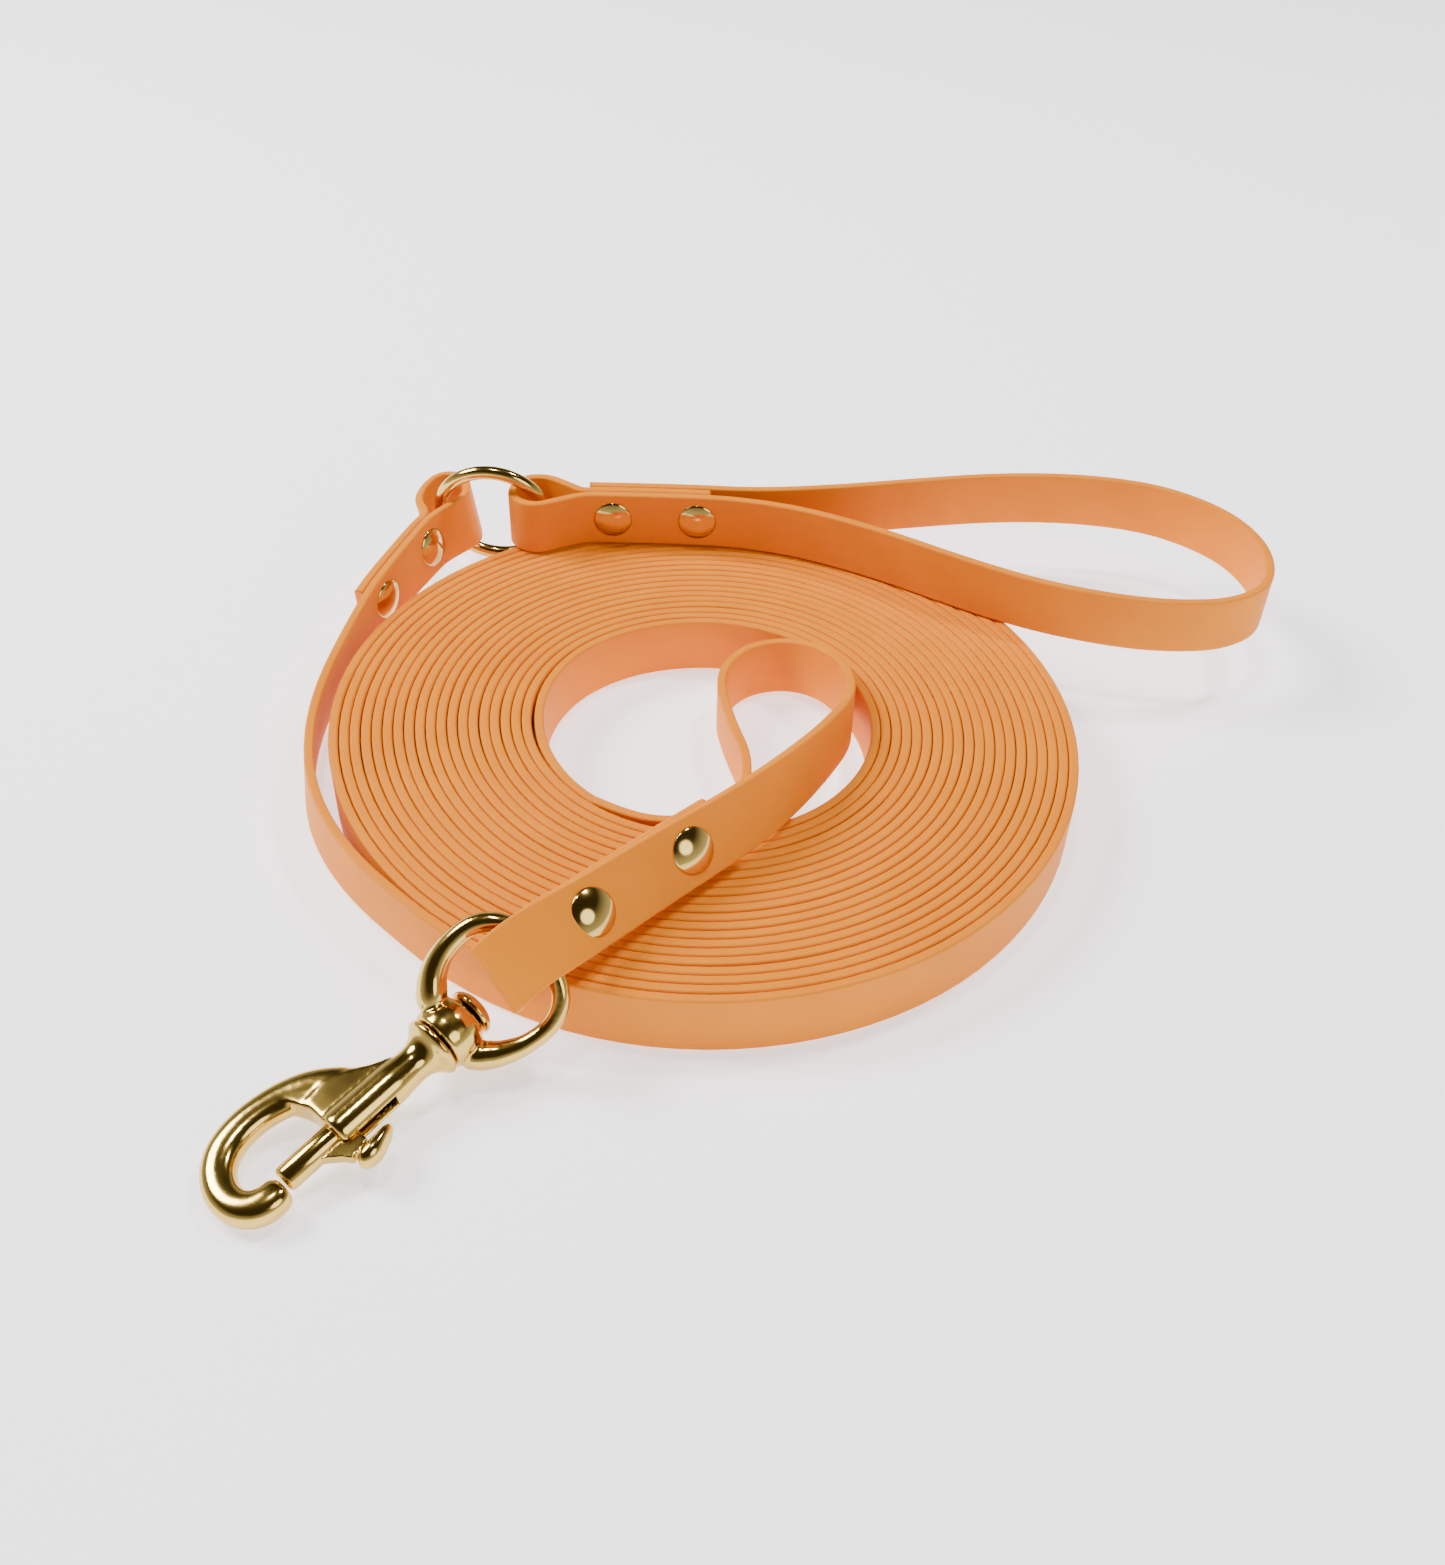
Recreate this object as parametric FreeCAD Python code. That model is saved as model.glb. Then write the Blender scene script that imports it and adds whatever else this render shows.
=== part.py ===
"""Long training leash, wound on edge into a flat coil and lying on a table.

A 16 mm coated strap stands on edge in a spiral of twenty turns. Its outer end is
folded round a brass ring that also carries the hand loop. Its inner end climbs out
of the coil, crosses the turns and is folded round the swivel eye of a bolt snap.
Millimetres, +Z up. Every piece is laid out about the middle of the coil and moved
at the end so that the leash stands centred on the origin.
"""
import FreeCAD, Part
import math
import os

V = FreeCAD.Vector
UP = V(0, 0, 1)

# Strap
STRAP_WIDTH = 16.0
STRAP_THICK = 2.4
LAYER_GAP = 0.20                            # between strap layers riveted together
LAYER_STEP = STRAP_THICK + LAYER_GAP
JOIN_GAP = 0.08                             # between a lead and the end of the coil
SECTION_STEP = 3.0
TAIL_STEP = 4.0

# Coil
COIL_TURNS = 20
COIL_PITCH = 2.6
COIL_START_RADIUS = 93.3                    # to the middle of the strap's thickness
COIL_START_ANGLE = math.radians(-130)
COIL_CENTRE = V(-26.2, 21.5, 0)             # the coil's middle, from the leash's middle

# Rivets: a post with a pin, and a cap with a socket that takes it
HOLE_RADIUS = 1.7
SOCKET_RADIUS = 1.6
PIN_RADIUS = 1.1
BORE_RADIUS = 1.16
DOME_RADIUS = 5.3
DOME_RIM = 0.5
DOME_HEIGHT = 2.0
DOME_SEAT = 0.65                            # clear of the strap's face

# Joining ring
RING_RADIUS = 15.6                          # to the middle of the wire
RING_WIRE_RADIUS = 1.9
RING_CENTRE = V(-62.8, 82.6, 22.8)
RING_LEAN = 12.0                            # degrees that the top comes forward
RING_TURN = -4.0

# Snap hook, laid out in its own frame: X along the swivel towards the hook,
# Y across the hook towards the lever, Z square to its flat
SNAP_ORIGIN = V(-51.8, -99.8, 10.6)         # middle of the swivel boss
SNAP_HEADING = 229.7
SNAP_SLOPE = 8.0
BOSS_RADIUS = 7.0
BOSS_BACK = -5.6
BOSS_FRONT = 3.0
POST_RADIUS = 2.6
RUNNING_GAP = 0.08
END_GAP = 0.35
HEAD_RADIUS = 5.6
HEAD_THICK = 3.2
COLLAR_RADIUS = 7.0
COLLAR_RIM = 1.2
NECK_RADIUS = 3.9
NECK_X = 7.4
BARREL_RADIUS = 4.4
BARREL_START = 8.6
BARREL_END = 30.4
BORE_START = 10.0
BARREL_BORE = 2.93
SLOT_START = 15.0
SLOT_WIDTH = 3.6
HOOK_HALF_THICK = 2.75
HOOK_EDGE = 1.6
TIP_X = 43.6

# Bolt, its lever and its spring
BOLT_RADIUS = 2.85
BOLT_START = 22.0
BOLT_TIP = 43.2
LEVER_HALF_THICK = 1.4
LEVER_X = 28.6
TENON_RADIUS = 1.1
TENON_DEPTH = 2.4
SPRING_WIRE_RADIUS = 0.35
SPRING_RADIUS = 2.2
SPRING_TURNS = 6

# Swivel eye, in its own frame: X down its length towards the boss, Y along its bar
EYE_ORIGIN = V(-51.4, -99.9, 9.9)
EYE_AXIS = V(-0.76, -0.40, -0.52)
EYE_BAR_AXIS = V(0.54, -0.52, -0.66)
EYE_WIRE_RADIUS = 2.0


def station(x, y, z, top_x=0.0, top_y=0.0):
    """A place on a strap: its middle, and which way its top edge leans."""
    lean = V(top_x, top_y, math.sqrt(1.0 - top_x ** 2 - top_y ** 2))
    return V(x, y, z), lean


# Inside end of the strap: it loops round in the middle of the coil, climbs and lies
# over the turns; the last stations carry the folded tail
HOOK_LEAD = [
    station(-26.5, -31.6, 8.0),
    station(-18.6, -36.3, 8.0),
    station(-8.6, -38.9, 8.05, 0.0, 0.03),
    station(7.0, -36.0, 8.1, -0.05, 0.05),
    station(12.0, -17.6, 8.1, -0.05, 0.0),
    station(6.0, 1.5, 8.1, -0.04, 0.0),
    station(2.8, 18.6, 8.0),
    station(9.2, 29.8, 8.1, 0.0, 0.06),
    station(19.6, 33.6, 8.3, -0.05, 0.08),
    station(29.0, 28.2, 10.8, -0.04, 0.12),
    station(35.8, 16.2, 14.0, 0.0, 0.1),
    station(37.0, 0.3, 16.8, 0.0, 0.1),
    station(28.5, -18.0, 20.2, -0.05, 0.18),
    station(19.3, -35.0, 24.6, -0.15, 0.28),
    station(9.0, -47.6, 25.4, -0.28, 0.33),
    station(-2.5, -58.2, 25.3, -0.36, 0.38),
    station(-13.0, -68.2, 25.2, -0.42, 0.43),
    station(-23.1, -78.4, 25.6, -0.47, 0.46),
    station(-25.8, -81.4, 25.9, -0.51, 0.49),
]
HOOK_TAIL = 42.0
HOOK_RIVETS = (-4, -2)

# Round the bar of the swivel eye and back behind the lead
HOOK_FOLD = [
    station(-31.0, -88.6, 28.2, -0.58, 0.56),
    station(-36.4, -94.0, 28.2, -0.6, 0.57),
    station(-41.2, -97.2, 24.6, -0.6, 0.57),
    station(-41.0, -93.0, 20.4, -0.6, 0.57),
    station(-36.2, -86.4, 20.9, -0.6, 0.57),
    station(-31.3, -82.4, 23.2, -0.56, 0.54),
]

# Outside end of the strap: it leaves the coil and rises to the ring
RING_LEAD = [
    station(-60.0, -71.5, 8.0),
    station(-74.4, -58.9, 8.0),
    station(-86.8, -44.0, 8.1, 0.05, 0.04),
    station(-95.2, -28.0, 8.15, 0.1, 0.04),
    station(-99.6, -10.0, 8.2, 0.13, 0.0),
    station(-100.4, 9.0, 8.8, 0.13, -0.05),
    station(-97.2, 27.5, 11.2, 0.1, -0.12),
    station(-92.4, 43.5, 14.2, 0.0, -0.12),
    station(-90.0, 49.3, 15.2, -0.05, -0.1),
    station(-87.0, 55.8, 16.4, -0.09, -0.07),
    station(-80.3, 70.5, 18.7, -0.15, 0.04),
    station(-78.2, 75.0, 19.1, -0.15, 0.04),
]
RING_TAIL = 35.5
RING_RIVETS = (-4, -2)

# Round the ring and back down the outside
RING_FOLD = [
    station(-69.7, 82.3, 20.9, -0.2, 0.06),
    station(-70.2, 89.4, 19.7, -0.16, 0.06),
    station(-72.4, 97.2, 19.0, -0.16, 0.06),
    station(-79.8, 98.0, 18.8, -0.16, 0.06),
    station(-83.0, 90.6, 18.8, -0.16, 0.06),
    station(-83.8, 82.4, 19.0, -0.16, 0.06),
]

# Hand loop: the far side first, round the open end, then back to the ring, where the
# tail turns in between the two sides
HANDLE_HEIGHT = 24.4
HANDLE_ROUTE = [
    (-35.2, 84.9), (-24.0, 85.1), (-6.0, 85.2), (13.7, 84.5), (36.9, 87.7), (60.6, 92.7),
    (84.5, 97.1), (108.3, 97.8), (128.4, 94.0), (141.6, 85.8), (150.6, 75.0), (154.6, 59.6),
    (150.6, 43.4), (139.0, 35.2), (124.5, 33.6), (110.0, 35.0), (89.0, 41.1), (68.7, 51.8),
    (47.6, 64.9), (25.4, 75.2), (8.0, 79.0), (-4.0, 79.8), (-16.0, 79.9), (-28.6, 79.8),
    (-36.6, 79.6),
]
HANDLE_TAIL = 36.0
HANDLE_RIVETS = (-4, -2)
HANDLE_FOLD = [
    (-43.4, 76.2), (-50.6, 72.4), (-57.8, 77.4), (-55.6, 87.2), (-48.2, 89.2), (-40.6, 84.2),
]


def smooth(points):
    """The smooth line that a route's points pull to themselves: a quadratic B-spline."""
    curve = Part.BSplineCurve()
    curve.buildFromPoles(points, False, 2)
    return curve


def distance_to(stations, index):
    """How far along a strap the given station lies."""
    route = smooth([place for place, _ in stations])
    return route.length(route.FirstParameter, route.parameter(stations[index][0]))


def frames_along(stations, distances):
    """The strap's (middle, along, across) at each distance along a smooth route."""
    route = smooth([place for place, _ in stations])
    knots = [route.parameter(place) for place, _ in stations]
    frames = []
    for distance in distances:
        here = route.parameterAtDistance(distance, route.FirstParameter)
        after = next((i for i, knot in enumerate(knots) if knot > here), len(knots) - 1)
        share = (here - knots[after - 1]) / (knots[after] - knots[after - 1])
        lean = stations[after - 1][1] * (1 - share) + stations[after][1] * share
        along = route.tangent(here)[0]
        across = (lean - along * along.dot(lean)).normalize()
        frames.append((route.value(here), along, across))
    return frames


def with_tail(lead, fold, length, side):
    """The lead, its fold, and a tail laid one layer to the side of the lead's end."""
    whole = lead + fold
    start = distance_to(whole, len(lead) - 1)
    count = round(length / TAIL_STEP)
    distances = [start - length * index / count for index in range(count + 1)]
    tail = [(middle + across.cross(along) * (side * LAYER_STEP), across)
            for middle, along, across in frames_along(whole, distances)]
    return whole + tail


def strap_frames(stations):
    """Evenly spaced frames over a whole strap, from just clear of what it joins."""
    length = smooth([place for place, _ in stations]).length()
    count = round(length / SECTION_STEP)
    step = (length - JOIN_GAP) / count
    return frames_along(stations, [JOIN_GAP + step * index for index in range(count + 1)])


def section(frame):
    middle, along, across = frame
    wide = across * (STRAP_WIDTH / 2)
    thick = along.cross(across) * (STRAP_THICK / 2)
    return [middle + wide + thick, middle - wide + thick,
            middle - wide - thick, middle + wide - thick]


def strap(stations):
    """A closed strap, its four long faces ruled from each section to the next."""
    rings = [section(frame) for frame in strap_frames(stations)]
    faces = [Part.Face(Part.makePolygon(ring + ring[:1])) for ring in (rings[0], rings[-1])]
    for near, far in zip(rings, rings[1:]):
        for corner in range(4):
            after = (corner + 1) % 4
            near_edge = Part.makeLine(near[corner], near[after])
            far_edge = Part.makeLine(far[corner], far[after])
            faces.append(Part.makeRuledSurface(near_edge, far_edge))
    shell = Part.Shell(faces)
    shell.sewShape()
    solid = Part.Solid(shell)
    if solid.Volume < 0:
        solid.reverse()
    return solid


def spiral(offset):
    """Half circles about two centres half a pitch apart, so that each meets the next."""
    edges = []
    facing = V(math.cos(COIL_START_ANGLE), math.sin(COIL_START_ANGLE), 0)
    centre = V(0, 0, 0)
    radius = COIL_START_RADIUS + offset
    for _ in range(2 * COIL_TURNS):
        turning = UP.cross(facing)
        end = centre - facing * radius
        edges.append(Part.Arc(centre + facing * radius, centre + turning * radius, end).toShape())
        radius -= COIL_PITCH / 2
        centre = end + facing * radius
        facing = facing * -1
    return edges


def wound_coil():
    outer = spiral(STRAP_THICK / 2)
    inner = spiral(-STRAP_THICK / 2)
    ends = [Part.makeLine(outer[0].firstVertex().Point, inner[0].firstVertex().Point),
            Part.makeLine(outer[-1].lastVertex().Point, inner[-1].lastVertex().Point)]
    outline = Part.Wire(Part.__sortEdges__(outer + inner + ends))
    return Part.Face(outline).extrude(UP * STRAP_WIDTH)


def spun(outline):
    """The solid that a closed outline beside the X axis makes when it turns about X."""
    solid = Part.Face(Part.Wire(outline)).revolve(V(0, 0, 0), V(1, 0, 0), 360)
    if solid.Volume < 0:
        solid.reverse()
    return solid


def revolved(profile):
    """Turns a closed (x, radius) outline about X."""
    points = [V(x, radius, 0) for x, radius in profile]
    return spun([Part.makePolygon(points + points[:1])])


def dome():
    """A low domed cap about X, its flat at x = 0 and its crown at DOME_HEIGHT."""
    rise = DOME_HEIGHT - DOME_RIM
    ball_radius = (DOME_RADIUS ** 2 + rise ** 2) / (2 * rise)
    ball = Part.makeSphere(ball_radius, V(DOME_HEIGHT - ball_radius, 0, 0), V(1, 0, 0))
    disc = Part.makeCylinder(DOME_RADIUS, DOME_HEIGHT + 1, V(0, 0, 0), V(1, 0, 0))
    return ball.common(disc)


def framed(origin, x_axis, y_hint):
    """Placement whose X runs along x_axis and whose Y lies as near y_hint as it can."""
    x_axis = V(x_axis).normalize()
    z_axis = x_axis.cross(y_hint).normalize()
    y_axis = z_axis.cross(x_axis)
    turn = FreeCAD.Rotation(x_axis, y_axis, z_axis, "XYZ")
    return FreeCAD.Placement(origin, turn)


def placed(shape, placement):
    moved = shape.copy()
    moved.Placement = placement.multiply(moved.Placement)
    return moved


def rivet(near_face, outward, layers):
    """Post half, cap half and hole for a rivet through a stack of strap layers."""
    stack = layers * STRAP_THICK + (layers - 1) * LAYER_GAP
    grip = stack + 2 * DOME_SEAT
    pin = Part.makeCylinder(PIN_RADIUS, grip - DOME_SEAT, V(0, 0, 0), V(-1, 0, 0))
    post = dome().fuse(pin)
    tube = Part.makeCylinder(SOCKET_RADIUS, grip - DOME_SEAT, V(0, 0, 0), V(-1, 0, 0))
    bore = Part.makeCylinder(BORE_RADIUS, grip, V(0, 0, 0), V(-1, 0, 0))
    cap = dome().fuse(tube).cut(bore)
    hole = Part.makeCylinder(HOLE_RADIUS, stack + 6, V(3, 0, 0), V(-1, 0, 0))
    seat = near_face + outward * DOME_SEAT
    front = framed(seat, outward, UP)
    back = framed(seat - outward * grip, outward * -1, UP)
    return placed(post, front), placed(cap, back), placed(hole, front)


def riveted(solids, lead, fold, indices, side, layers, name):
    """Bores each solid at the chosen stations and returns the rivets by name."""
    rivets = {}
    whole = lead + fold
    distances = [distance_to(whole, len(lead) + index) for index in indices]
    for number, frame in enumerate(frames_along(whole, distances), start=1):
        middle, along, across = frame
        outward = across.cross(along) * -side
        near_face = middle + outward * (STRAP_THICK / 2)
        post, cap, hole = rivet(near_face, outward, layers)
        rivets[f"{name}_rivet_{number}_post"] = post
        rivets[f"{name}_rivet_{number}_cap"] = cap
        solids = [solid.cut(hole) for solid in solids]
    return solids, rivets


def upright(points):
    return [station(x, y, HANDLE_HEIGHT) for x, y in points]


def joining_ring():
    yaw = math.radians(RING_TURN)
    tilt = math.radians(RING_LEAN)
    normal = V(math.sin(yaw) * math.cos(tilt), -math.cos(yaw) * math.cos(tilt), -math.sin(tilt))
    return Part.makeTorus(RING_RADIUS, RING_WIRE_RADIUS, RING_CENTRE, normal)


def snap_frame():
    heading = math.radians(SNAP_HEADING)
    slope = math.radians(SNAP_SLOPE)
    level = V(math.cos(heading), math.sin(heading), 0)
    axis = level * math.cos(slope) - UP * math.sin(slope)
    return framed(SNAP_ORIGIN, axis, UP.cross(level))


def plate(outline, half_thick):
    """A flat piece in XY with the given edges, as thick above the plane as below."""
    face = Part.Face(Part.Wire(outline))
    return face.extrude(V(0, 0, 2 * half_thick)).translated(V(0, 0, -half_thick))


def through(points):
    """A smooth curve in XY that passes through its points."""
    curve = Part.BSplineCurve()
    curve.interpolate([V(x, y, 0) for x, y in points])
    return curve


def snap_body():
    post_end = BOSS_BACK - END_GAP
    turned = revolved([
        (post_end - HEAD_THICK, 0), (post_end - HEAD_THICK, HEAD_RADIUS * 0.45),
        (post_end - HEAD_THICK * 0.6, HEAD_RADIUS * 0.88), (post_end - 0.6, HEAD_RADIUS),
        (post_end, HEAD_RADIUS), (post_end, POST_RADIUS), (BOSS_FRONT + END_GAP, POST_RADIUS),
        (BOSS_FRONT + END_GAP, COLLAR_RADIUS), (BOSS_FRONT + END_GAP + COLLAR_RIM, COLLAR_RADIUS),
        (NECK_X, NECK_RADIUS), (BARREL_START, BARREL_RADIUS), (BARREL_END, BARREL_RADIUS),
        (BARREL_END, 0),
    ])
    back = [(15.0, -3.2), (18.0, -6.6), (22.0, -10.6), (26.0, -14.4), (30.0, -17.0),
            (34.0, -18.7), (41.0, -19.4), (47.5, -18.0), (52.0, -14.6), (55.0, -9.4),
            (56.0, -3.4), (54.4, 1.8), (50.6, 4.8), (46.8, 5.3), (TIP_X, 4.4)]
    throat = [(TIP_X, -2.2), (47.2, -2.8), (49.3, -5.2), (48.2, -8.4), (44.6, -11.0),
              (40.0, -11.9), (35.6, -11.3), (32.2, -9.2), (BARREL_END, -5.6)]
    outline = [
        through(back).toShape(),
        Part.makeLine(V(*back[-1], 0), V(*throat[0], 0)),
        through(throat).toShape(),
        Part.makeLine(V(*throat[-1], 0), V(BARREL_END, -1.5, 0)),
        Part.makeLine(V(BARREL_END, -1.5, 0), V(15.0, -1.5, 0)),
        Part.makeLine(V(15.0, -1.5, 0), V(*back[0], 0)),
    ]
    hook = plate(outline, HOOK_HALF_THICK)
    rounded = [edge for edge in hook.Edges
               if abs(abs(edge.CenterOfMass.z) - HOOK_HALF_THICK) < 0.01 and edge.Length > 20]
    hook = hook.makeFillet(HOOK_EDGE, rounded)
    body = turned.fuse(hook)
    bore = Part.makeCylinder(BARREL_BORE, BARREL_END, V(BORE_START, 0, 0), V(1, 0, 0))
    slot_length = BARREL_END + 1 - SLOT_START
    slot = Part.makeBox(slot_length, BARREL_RADIUS + 2, SLOT_WIDTH,
                        V(SLOT_START, 0, -SLOT_WIDTH / 2))
    clear = Part.makeBox(TIP_X - BARREL_END, 7.0, 2 * HOOK_HALF_THICK + 1,
                         V(BARREL_END, -3.4, -HOOK_HALF_THICK - 0.5))
    tip = Part.makeCylinder(BOLT_RADIUS + 0.35, 1.2, V(TIP_X - 0.2, 0, 0), V(1, 0, 0))
    return body.cut(bore.common(clear.fuse(turned))).cut(slot).cut(tip)


def snap_bolt():
    bolt = Part.makeCylinder(BOLT_RADIUS, BOLT_TIP - BOLT_START, V(BOLT_START, 0, 0), V(1, 0, 0))
    ends = [edge for edge in bolt.Edges if abs(edge.CenterOfMass.x - BOLT_TIP) < 0.01]
    bolt = bolt.makeChamfer(0.6, ends)
    socket = Part.makeCylinder(TENON_RADIUS + 0.05, BOLT_RADIUS + TENON_DEPTH,
                               V(LEVER_X, BOLT_RADIUS - TENON_DEPTH, 0), V(0, 1, 0))
    return bolt.cut(socket)


def thumb_lever():
    """Thumb leaf on a short stem, stepped down to a tenon in the bolt."""
    root = BOLT_RADIUS + 0.1
    leaf = [(LEVER_X - 1.8, root), (LEVER_X - 2.0, 6.0), (24.0, 6.1), (21.4, 7.0), (23.2, 9.0),
            (26.6, 11.2), (29.2, 11.8), (30.6, 10.2), (31.4, 8.0), (32.2, 6.0), (35.4, root)]
    corners = [V(x, y, 0) for x, y in leaf]
    outline = [Part.makePolygon(corners + corners[:1])]
    lever = plate(outline, LEVER_HALF_THICK)
    tenon = Part.makeCylinder(TENON_RADIUS, TENON_DEPTH, V(LEVER_X, root - TENON_DEPTH + 0.2, 0),
                              V(0, 1, 0))
    return lever.fuse(tenon)


def bolt_spring():
    start = BORE_START + SPRING_WIRE_RADIUS + 0.1
    length = BOLT_START - start - SPRING_WIRE_RADIUS - 0.1
    helix = Part.makeHelix(length / SPRING_TURNS, length, SPRING_RADIUS)
    tangent = helix.Edges[0].tangentAt(helix.Edges[0].FirstParameter)
    wire = Part.Wire(Part.makeCircle(SPRING_WIRE_RADIUS, V(SPRING_RADIUS, 0, 0), tangent))
    spring = Part.Wire(helix).makePipeShell([wire], True, True)
    return placed(spring, framed(V(start, 0, 0), V(0, 0, -1), V(0, 1, 0)))


def swivel_eye():
    """Bent wire loop whose two arms run into the boss that turns on the snap's post."""
    axis = V(EYE_AXIS).normalize()
    route = [(-1.5, 6.6), (-6.2, 9.8), (-11.6, 11.4), (-18.0, 11.4), (-23.1, 8.4), (-25.6, 2.4),
             (-25.6, -5.6), (-23.3, -11.6), (-18.4, -14.8), (-11.6, -14.7), (-6.2, -12.4),
             (-1.5, -7.2)]
    curve = through(route)
    start = V(*route[0], 0)
    circle = Part.Wire(Part.makeCircle(EYE_WIRE_RADIUS, start, curve.tangent(0)[0]))
    loop = Part.Wire(curve.toShape()).makePipeShell([circle], True, True)
    loop = placed(loop, framed(EYE_ORIGIN, axis, EYE_BAR_AXIS))
    boss = Part.makeCylinder(BOSS_RADIUS, BOSS_FRONT - BOSS_BACK, V(BOSS_BACK, 0, 0), V(1, 0, 0))
    rims = [edge for edge in boss.Edges if edge.Closed]
    boss = placed(boss.makeChamfer(0.8, rims), snap_frame())
    bore = Part.makeCylinder(POST_RADIUS + RUNNING_GAP, 12, V(BOSS_BACK - 1, 0, 0), V(1, 0, 0))
    behind = Part.makeCylinder(HEAD_RADIUS + 0.5, 12, V(BOSS_BACK - 12, 0, 0), V(1, 0, 0))
    before = Part.makeCylinder(COLLAR_RADIUS + 4, 12, V(BOSS_FRONT, 0, 0), V(1, 0, 0))
    eye = boss.fuse(loop)
    for tool in (bore, behind, before):
        eye = eye.cut(placed(tool, snap_frame()))
    return eye


def build():
    hook_route = with_tail(HOOK_LEAD, HOOK_FOLD, HOOK_TAIL, -1)
    ring_route = with_tail(RING_LEAD, RING_FOLD, RING_TAIL, 1)
    handle_lead = upright(HANDLE_ROUTE)
    handle_fold = upright(HANDLE_FOLD)
    handle_route = with_tail(handle_lead, handle_fold, HANDLE_TAIL, -1)
    parts = {"line_coil": wound_coil()}
    (hook_end,), hook_rivets = riveted([strap(hook_route)], HOOK_LEAD, HOOK_FOLD,
                                       HOOK_RIVETS, -1, 2, "hook")
    (ring_end,), ring_rivets = riveted([strap(ring_route)], RING_LEAD, RING_FOLD,
                                       RING_RIVETS, 1, 2, "ring")
    (handle,), handle_rivets = riveted([strap(handle_route)], handle_lead, handle_fold,
                                       HANDLE_RIVETS, -1, 3, "handle")
    parts["line_hook_end"] = hook_end
    parts["line_ring_end"] = ring_end
    parts["handle_strap"] = handle
    parts.update(hook_rivets)
    parts.update(ring_rivets)
    parts.update(handle_rivets)
    parts["joining_ring"] = joining_ring()
    parts["swivel_eye"] = swivel_eye()
    for name, shape in (("snap_body", snap_body()), ("snap_bolt", snap_bolt()),
                        ("thumb_lever", thumb_lever()), ("bolt_spring", bolt_spring())):
        parts[name] = placed(shape, snap_frame())
    return {name: shape.translated(COIL_CENTRE) for name, shape in parts.items()}


if __name__ == "__main__":
    os.makedirs("parts", exist_ok=True)
    whole = FreeCAD.BoundBox()
    for name, shape in build().items():
        shape.exportStep(f"parts/{name}.step")
        whole.add(shape.BoundBox)
        print(f"{name:24s} {len(shape.Solids)} {shape.isValid()} {shape.Volume:10.1f}")
    print(whole)
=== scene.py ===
"""A long training leash lying coiled on a pale table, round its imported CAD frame."""

import math

import bmesh
import bpy
from mathutils import Matrix, Vector, noise


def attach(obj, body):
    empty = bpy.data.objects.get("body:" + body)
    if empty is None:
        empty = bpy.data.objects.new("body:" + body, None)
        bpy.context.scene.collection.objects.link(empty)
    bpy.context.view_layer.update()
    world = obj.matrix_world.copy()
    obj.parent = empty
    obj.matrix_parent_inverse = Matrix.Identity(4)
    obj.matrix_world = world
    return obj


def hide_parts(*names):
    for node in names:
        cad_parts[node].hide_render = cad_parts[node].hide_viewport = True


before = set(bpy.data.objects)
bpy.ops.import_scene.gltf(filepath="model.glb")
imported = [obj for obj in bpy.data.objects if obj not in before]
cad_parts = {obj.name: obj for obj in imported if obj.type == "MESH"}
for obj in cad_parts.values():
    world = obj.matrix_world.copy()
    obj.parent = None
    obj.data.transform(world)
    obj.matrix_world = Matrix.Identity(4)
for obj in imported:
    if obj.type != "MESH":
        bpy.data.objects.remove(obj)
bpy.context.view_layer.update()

MM = 0.001
UP = Vector((0, 0, 1))

# The strap and its coil, as in part.py, in millimetres about the coil's middle
STRAP_WIDTH = 16.0
STRAP_THICK = 2.4
STRAP_CORNER = 0.62
LAYER_STEP = 2.6
COIL_TURNS = 20
COIL_PITCH = 2.6
COIL_START_RADIUS = 93.3
COIL_START_ANGLE = math.radians(-130)
COIL_CENTRE = Vector((-26.2, 21.5, 0))
COIL_STEPS = 96                             # sections to a turn
COIL_FADE = 4                               # unevenness fades over 1/4 turn at both ends
WANDER = 0.10
LIFT = 0.16
LOOSE_SIDE = math.radians(155)              # where the turns lie a little looser
LOOSE_BY = 3.6
LOOSE_NARROW = 1.35                         # 1 would spread it over half a turn
LOOSE_LOST = 0.55                           # share of it lost by the innermost turn
CORNER_STEPS = 4
ROUTE_RESOLUTION = 14
TAIL_STEP = 4.0
RIVET_STATIONS = (-4, -2)                   # counted from the end of a strap's lead

# (x, y, z) of the strap's middle, then how far its top edge leans in x and y
HOOK_LEAD = [
    (-26.5, -31.6, 8.0, 0, 0), (-18.6, -36.3, 8.0, 0, 0), (-8.6, -38.9, 8.05, 0, 0.03),
    (7.0, -36.0, 8.1, -0.05, 0.05), (12.0, -17.6, 8.1, -0.05, 0), (6.0, 1.5, 8.1, -0.04, 0),
    (2.8, 18.6, 8.0, 0, 0), (9.2, 29.8, 8.1, 0, 0.06), (19.6, 33.6, 8.3, -0.05, 0.08),
    (29.0, 28.2, 10.8, -0.04, 0.12), (35.8, 16.2, 14.0, 0, 0.1), (37.0, 0.3, 16.8, 0, 0.1),
    (28.5, -18.0, 20.2, -0.05, 0.18), (19.3, -35.0, 24.6, -0.15, 0.28),
    (9.0, -47.6, 25.4, -0.28, 0.33), (-2.5, -58.2, 25.3, -0.36, 0.38),
    (-13.0, -68.2, 25.2, -0.42, 0.43), (-23.1, -78.4, 25.6, -0.47, 0.46),
    (-25.8, -81.4, 25.9, -0.51, 0.49),
]
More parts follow.
